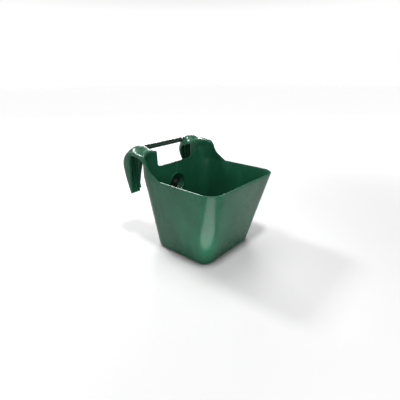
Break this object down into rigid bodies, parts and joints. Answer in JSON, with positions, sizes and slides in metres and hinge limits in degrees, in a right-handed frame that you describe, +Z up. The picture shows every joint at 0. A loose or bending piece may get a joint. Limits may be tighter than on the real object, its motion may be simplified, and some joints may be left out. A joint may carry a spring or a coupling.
{
  "type": "hook-over feed bucket",
  "caption": "Green moulded feed bucket with a tapered tub, two over-the-rail hooks, a carry rod with a turning grip and a round eyelet in the back wall.",
  "frame": {"origin": "centre of the flat base", "axes": "+X to the right seen from the front, +Y to the rear where the hooks are, +Z up"},
  "size_m": [0.3036, 0.363, 0.319],
  "materials": {
    "green_polyethylene": "satin moulded polyethylene",
    "black_rubber": "matt",
    "rod_steel": "zinc plated",
    "dark_grip": "gloss tube"
  },
  "bodies": {
    "bucket": {"tub_shell": "green_polyethylene", "hook_right": "green_polyethylene", "hook_left": "green_polyethylene", "eyelet_collar": "green_polyethylene", "eyelet_bung": "black_rubber", "carry_rod": "rod_steel"},
    "grip": {"grip_sleeve": "dark_grip"}
  },
  "joints": [
    {"name": "grip_turn", "type": "hinge", "parent": "bucket", "child": "grip", "pos_m": [0, 0.164, 0.3055], "axis": [1, 0, 0], "continuous": true}
  ]
}
